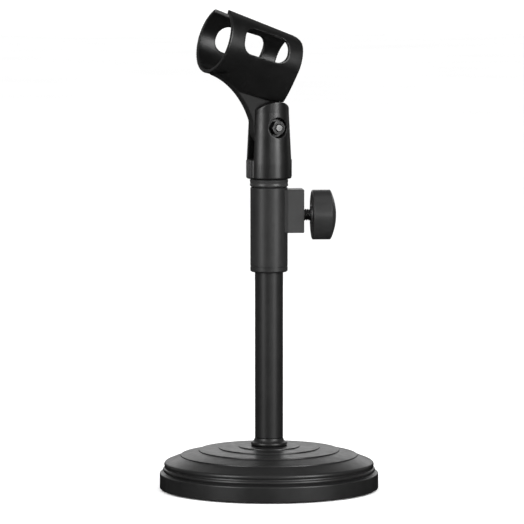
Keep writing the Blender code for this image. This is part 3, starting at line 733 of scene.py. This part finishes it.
def clip_base(plastic):
    """Fork with two ears and a recess for the pivot's washer on each side."""
    low, radius = bottom("clip_base") - PIVOT.z, CLIP_BASE_RADIUS
    bore = reach("clip_insert") + GAP
    bore_top = low + INSERT_BORE_HEIGHT
    crown = EAR_ARC + 0.002
    fork = turned("riser_clip_base", [
        (0, bore_top, 0), (bore, bore_top, 0), (bore, low, 0), (radius, low, 0.0006),
        (radius, low + 0.0095, 0.012), (EAR_RADIUS, 0.0090, 0.012), (EAR_RADIUS, crown, 0),
        (0, crown, 0)])
    far = 0.03
    above = [(-far, 0.005), (-far, far), (far, far), (far, 0.005)] + arc((0, 0), EAR_ARC, 19, 161, 49)
    half = SLOT_WIDTH / 2
    slot = box("slot", (-far, -half, -SLOT_DEPTH), (far, half, far))
    floor, hole = RECESS_FLOOR, PIVOT_HOLE_RADIUS
    recess = [(0, -far, 0), (RECESS_RADIUS, -far, 0), (RECESS_RADIUS, -floor, 0), (hole, -floor, 0),
              (hole, floor, 0), (RECESS_RADIUS, floor, 0), (RECESS_RADIUS, far, 0), (0, far, 0)]
    combine(fork, ("DIFFERENCE", extruded("crown", above, 0.05)), ("DIFFERENCE", slot),
            ("DIFFERENCE", turned("recess", recess, TO_PIVOT_AXIS, segments=96)))
    soften(fork, CLIP_VOXEL, 6)
    fork.data.transform(CLIP_FRAME)
    dress(fork, "riser", "moulded_plastic", plastic, "clip_base")


def thumb_strips(plastic):
    """Upright round ribs under each end of the clip's slot."""
    low, high = bottom("clip_base") - PIVOT.z + 0.0007, -SLOT_DEPTH - 0.0004
    rib = rod_profile(RIB_RADIUS, low, high, 0.0004, 0.0004)
    for side, end in ((-1, "back"), (1, "front")):
        ribs = []
        for i in range(RIB_COUNT):
            y = (i - RIB_COUNT // 2) * RIB_PITCH
            x = side * math.sqrt((CLIP_BASE_RADIUS - 0.0002) ** 2 - y ** 2)
            ribs.append(turned(f"riser_ribs_{end}", rib, Matrix.Translation((x, y, 0)), segments=20))
        strip = combine(ribs[0], *(("UNION", other) for other in ribs[1:]))
        strip.data.transform(CLIP_FRAME)
        dress(strip, "riser", "moulded_plastic", plastic)


def pivot_fasteners(dark_steel, screw_steel, collar_nylon):
    """Round washers, a lock nut with its nylon collar, and a screw with a domed head."""
    across = CLIP_FRAME @ TO_PIVOT_AXIS
    seat, painted_highlight = RECESS_FLOOR + GAP, PIVOT_WASHER_THICKNESS
    hole = PIVOT_SCREW_RADIUS + GAP
    washers = (("front", "pivot_washer_nut", seat), ("back", "pivot_washer_head", -seat - painted_highlight))
    for name, node, start in washers:
        section = ring_section(PIVOT_WASHER_RADIUS, hole, start, start + painted_highlight, 0.0002)
        washer = turned(f"riser_washer_{name}", section, across, closed=True)
        dress(washer, "riser", "bare_steel", dark_steel, node)

    head = seat + painted_highlight + GAP
    tip = head + PIVOT_TIP_REACH
    crown = -head - PIVOT_HEAD_HEIGHT
    screw = turned("riser_pivot_screw", [
        (0, crown + 0.0012, 0), (0.0012, crown + 0.0012, 0), (0.0013, crown, 0.0002),
        (0.0030, crown, 0.0010), (PIVOT_HEAD_RADIUS, crown + 0.0014, 0.0008),
        (PIVOT_HEAD_RADIUS, -head, 0.0002), (PIVOT_SCREW_RADIUS, -head, 0),
        (PIVOT_SCREW_RADIUS, tip - 0.0002, 0.0003), (PIVOT_SCREW_RADIUS - 0.0003, tip, 0.0002),
        (0, tip, 0)], across)
    dress(screw, "riser", "bare_steel", screw_steel, "pivot_screw")
    pivot_nut(dark_steel, head, hole)
    nut_top = head + PIVOT_NUT_HEIGHT
    section = ring_section(hole + 0.0007, hole, nut_top - 0.0007, nut_top - 0.0001, 0.0002)
    dress(turned("riser_lock_collar", section, across, closed=True), "riser", "nylon", collar_nylon)


def pivot_nut(steel, low, hole):
    """Hexagon with turned-off corners, bored, and widened at the top for the collar."""
    high = low + PIVOT_NUT_HEIGHT
    flat = PIVOT_NUT_FLATS / 2
    corner = flat / math.cos(math.radians(30))
    nut = extruded("riser_pivot_nut", arc((0, 0), corner, 0, 300, 6), PIVOT_NUT_HEIGHT,
                   Matrix.Translation((0, low + PIVOT_NUT_HEIGHT / 2, 0)))
    cone = [(0, low, 0), (flat + 0.0002, low - 0.0001, 0), (corner + 0.0004, low + 0.0006, 0),
            (corner + 0.0004, high - 0.0010, 0), (flat - 0.0002, high, 0), (0, high, 0)]
    seat, wide, past = high - 0.0008, hole + 0.0009, 0.001
    bore = [(0, low - past, 0), (hole, low - past, 0), (hole, seat, 0), (wide, seat, 0),
            (wide, high + past, 0), (0, high + past, 0)]
    combine(nut, ("INTERSECT", turned("cone", cone, TO_PIVOT_AXIS, segments=96)),
            ("DIFFERENCE", turned("bore", bore, TO_PIVOT_AXIS, segments=64)))
    nut.data.transform(CLIP_FRAME)
    dress(nut, "riser", "bare_steel", steel, "pivot_nut")


# ---------------------------------------------------------------- holder

def holder_point(along, radius):
    """(x, z) in the clip's frame: along the holder's axis from its middle, and radius below the axis."""
    cos, sin = math.cos(HOLDER_TILT), math.sin(HOLDER_TILT)
    return (HOLDER_MIDDLE[0] + along * cos + radius * sin,
            HOLDER_MIDDLE[1] + along * sin - radius * cos)


def holder_radius(along):
    middle = (HOLDER_RADIUS_FRONT + HOLDER_RADIUS_BACK) / 2
    return middle + along * (HOLDER_RADIUS_FRONT - HOLDER_RADIUS_BACK) / HOLDER_LENGTH


def holder_cone(name, inset, past):
    """Tapered solid along the holder's axis, inset from its surface and longer by past at each end."""
    half = HOLDER_LENGTH / 2 + past
    front, back = holder_radius(half) - inset, holder_radius(-half) - inset
    lay_down = HOLDER_FRAME @ Matrix.Rotation(math.radians(90), 4, "Y")
    return turned(name, [(0, -half, 0), (back, -half, 0), (front, half, 0), (0, half, 0)], lay_down)


def tongue_outline():
    """Flat web from inside the holder's wall down to a round end about the pivot."""
    front, back = KEEL_FRONT, -HOLDER_LENGTH / 2 + 0.0020
    inside = HOLDER_WALL / 2
    points = [holder_point(back, holder_radius(back) - inside),
              holder_point(front, holder_radius(front) - inside)]
    points += bezier(TONGUE_EDGE, 28)
    points += arc((0, 0), TONGUE_END_RADIUS, 0, -185, 40)
    points.append(holder_point(back, KEEL_DEPTH - 0.0010))
    return points


def keel_section(along):
    """Closed (sideways, up) section of the keel across the holder's axis."""
    radius = holder_radius(along)
    straight, end = KEEL_STRAIGHT_END, HOLDER_LENGTH / 2
    rise = max(0.0, (along - straight) / (end - straight))
    depth = KEEL_DEPTH + (holder_radius(end) - HOLDER_WALL - KEEL_DEPTH) * rise ** 0.7
    slope = min(1.0, (along + end) / (straight + end))
    foot = KEEL_FOOT_BACK + (KEEL_FOOT_FRONT - KEEL_FOOT_BACK) * slope
    cos, sin = math.cos(KEEL_LEAVES), math.sin(KEEL_LEAVES)
    shoulder = ((radius - 0.0001) * cos, -(radius - 0.0001) * sin)
    drop = KEEL_FULLNESS * (depth + shoulder[1])
    belly = (shoulder[0] - drop * sin, shoulder[1] - drop * cos)
    side = bezier((shoulder, belly, (foot, -depth)), 18)
    return side + [(-y, z) for y, z in reversed(side)]


def keel():
    """Loft of the keel's sections along the holder's axis."""
    half, steps = HOLDER_LENGTH / 2, 40
    bm = bmesh.new()
    rings = []
    for i in range(steps + 1):
        along = -half + 0.0001 + (KEEL_FRONT + half) * i / steps
        rings.append([bm.verts.new((along, y, z)) for y, z in keel_section(along)])
    for ring, after in zip(rings, rings[1:]):
        for j in range(len(ring)):
            k = (j + 1) % len(ring)
            bm.faces.new((ring[j], ring[k], after[k], after[j]))
    bm.faces.new(rings[0])
    bm.faces.new(rings[-1])
    return new_object("keel", bm, HOLDER_FRAME)


def slit_cutter():
    """Opening along the top, with the nut side's wall rounded off at its rear corner."""
    half_length, half, r = HOLDER_LENGTH / 2, HOLDER_SLIT / 2, SLIT_CORNER
    far = half_length + 0.005
    back = -half_length
    corner = arc((back + r, -half - r), r, 90, 180, 13)
    outline = [(far, half), (back - 0.005, half), (back - 0.005, -half - r)]
    outline += list(reversed(corner)) + [(far, -half)]
    cutter = extruded("slit", outline, 0.025)
    cutter.data.transform(HOLDER_FRAME @ Matrix.Translation((0, 0, 0.0175))
                          @ Matrix.Rotation(math.radians(90), 4, "X"))
    return cutter


def window_outline():
    """Rounded rectangle, seen from the side, that opens both of the holder's walls."""
    x, (z0, z1), r = WINDOW_HALF_LENGTH, WINDOW_EDGES, WINDOW_CORNER
    corners = ((x - r, z1 - r, 0), (r - x, z1 - r, 90), (r - x, z0 + r, 180), (x - r, z0 + r, 270))
    return [point for cx, cz, start in corners for point in arc((cx, cz), r, start, start + 90, 9)]


def clip_holder(plastic):
    """Tapered open holder on its keel, with the tongue that the pivot screw passes through."""
    holder = holder_cone("holder_clip", 0, 0)
    clearance = turned("clearance", rod_profile(KEEL_CLEARANCE, -0.03, 0.03), TO_PIVOT_AXIS)
    hole = turned("hole", rod_profile(PIVOT_HOLE_RADIUS, -0.01, 0.01), TO_PIVOT_AXIS, segments=64)
    combine(holder,
            ("UNION", keel()),
            ("DIFFERENCE", clearance),
            ("UNION", extruded("tongue", tongue_outline(), TONGUE_THICKNESS)),
            ("DIFFERENCE", holder_cone("bore", HOLDER_WALL, 0.001)),
            ("DIFFERENCE", slit_cutter()),
            ("DIFFERENCE", extruded("window", window_outline(), 0.06, HOLDER_FRAME)),
            ("DIFFERENCE", hole))
    soften(holder, HOLDER_VOXEL, 5)
    holder.data.transform(CLIP_FRAME)
    dress(holder, "holder", "moulded_plastic", plastic, "clip_holder")


# ---------------------------------------------------------------- CAD nodes that stay

def paint_nodes(material, *names):
    for name in names:
        for material_slot in frame["nodes"][name].material_slots:
            material_slot.material = material


# ---------------------------------------------------------------- stage

def softbox(name, azimuth, elevation, distance, size, power):
    """Rectangular area light aimed at the stand, its azimuth counted from the camera's."""
    light = bpy.data.lights.new(name, "AREA")
    light.shape = "RECTANGLE"
    light.size, light.size_y = size
    light.energy = power
    obj = bpy.data.objects.new(name, light)
    bpy.context.scene.collection.objects.link(obj)
    a, e = CAMERA_AZIMUTH + math.radians(azimuth), math.radians(elevation)
    back = Vector((math.sin(a) * math.cos(e), -math.cos(a) * math.cos(e), math.sin(e)))
    aim = Vector((0, 0, 0.5 * cad_high.z))
    obj.location = aim + back * distance
    obj.rotation_euler = (-back).to_track_quat("-Z", "Y").to_euler()


def studio():
    """Softboxes around the stand, a white surround that glossy faces don't mirror, and the floor."""
    for light in SOFTBOXES:
        softbox(*light)

    world = bpy.data.worlds.new("studio")
    world.use_nodes = True
    world.node_tree.nodes["Background"].inputs["Color"].default_value = (1, 1, 1, 1)
    world.node_tree.nodes["Background"].inputs["Strength"].default_value = SURROUND_STRENGTH
    world.cycles_visibility.glossy = False
    bpy.context.scene.world = world
    bpy.context.scene.view_settings.view_transform = "Standard"

    bm = bmesh.new()
    bmesh.ops.create_grid(bm, x_segments=24, y_segments=24, size=FLOOR_HALF_WIDTH)
    floor = new_object("floor", bm, Matrix.Translation((0, 0, cad_low.z - FLOOR_DROP)))
    floor.data.materials.append(floor_paper("pale_paper"))
    floor.visible_glossy = False


def camera():
    data = bpy.data.cameras.new("camera")
    data.lens = CAMERA_LENS
    data.shift_x, data.shift_y = CAMERA_SHIFT
    data.clip_start, data.clip_end = CAMERA_CLIP
    obj = bpy.data.objects.new("camera", data)
    bpy.context.scene.collection.objects.link(obj)
    obj.location = (CAMERA_DISTANCE * math.sin(CAMERA_AZIMUTH),
                    -CAMERA_DISTANCE * math.cos(CAMERA_AZIMUTH), CAMERA_HEIGHT)
    obj.rotation_euler = (Vector((0, 0, CAMERA_AIM)) - obj.location).to_track_quat("-Z", "Y").to_euler()
    bpy.context.scene.camera = obj


def main():
    camera()
    studio()
    # The clamp block's flat faces, past the sleeve's radius, are painted a lighter grey: a painted
    # highlight.
    block_paint = satin_paint("satin_black_paint_block", 0.010, 0.42, HOUSING_RADIUS - 0.0004, 0.021)
    clip_plastic = moulding("satin_moulding", 0.004, 0.35, 0.0000025)
    knob_plastic = moulding("matte_moulding", 0.014, 0.37, 0.000005, 3600.0)
    steel = turned_steel("turned_steel")
    nylon = milky_nylon("milky_nylon")

    base_shell()
    base_underside(pad_rubber("pad_rubber"), steel)
    pole(satin_paint("satin_black_paint"))
    clutch_housing(block_paint)
    clamp_knob(knob_plastic, turned_steel("blackened_steel", 0.28, 0.40))
    riser(satin_paint("satin_black_paint_ring", 0.018, 0.38), drawn_chrome("drawn_chrome"),
          turned_brass("turned_brass"))
    clip_base(clip_plastic)
    thumb_strips(knob_plastic)
    pivot_fasteners(turned_steel("blackened_washer", 0.06, 0.38), turned_steel("zinc_steel", 0.20, 0.40),
                    moulding("black_nylon", 0.02, 0.45))
    clip_holder(holder_plastic("satin_moulding_holder", 0.0035, 0.34, 0.72))

    paint_nodes(cast_iron("cast_iron"), "ballast_weight")
    paint_nodes(steel, "cover_screw_1", "cover_screw_2", "cover_screw_3", "cover_screw_4",
                "foot_washer", "foot_spring_washer", "foot_nut", "clamp_nut")
    paint_nodes(nylon, "clutch_liner", "clamp_shoe", "riser_bush")


main()
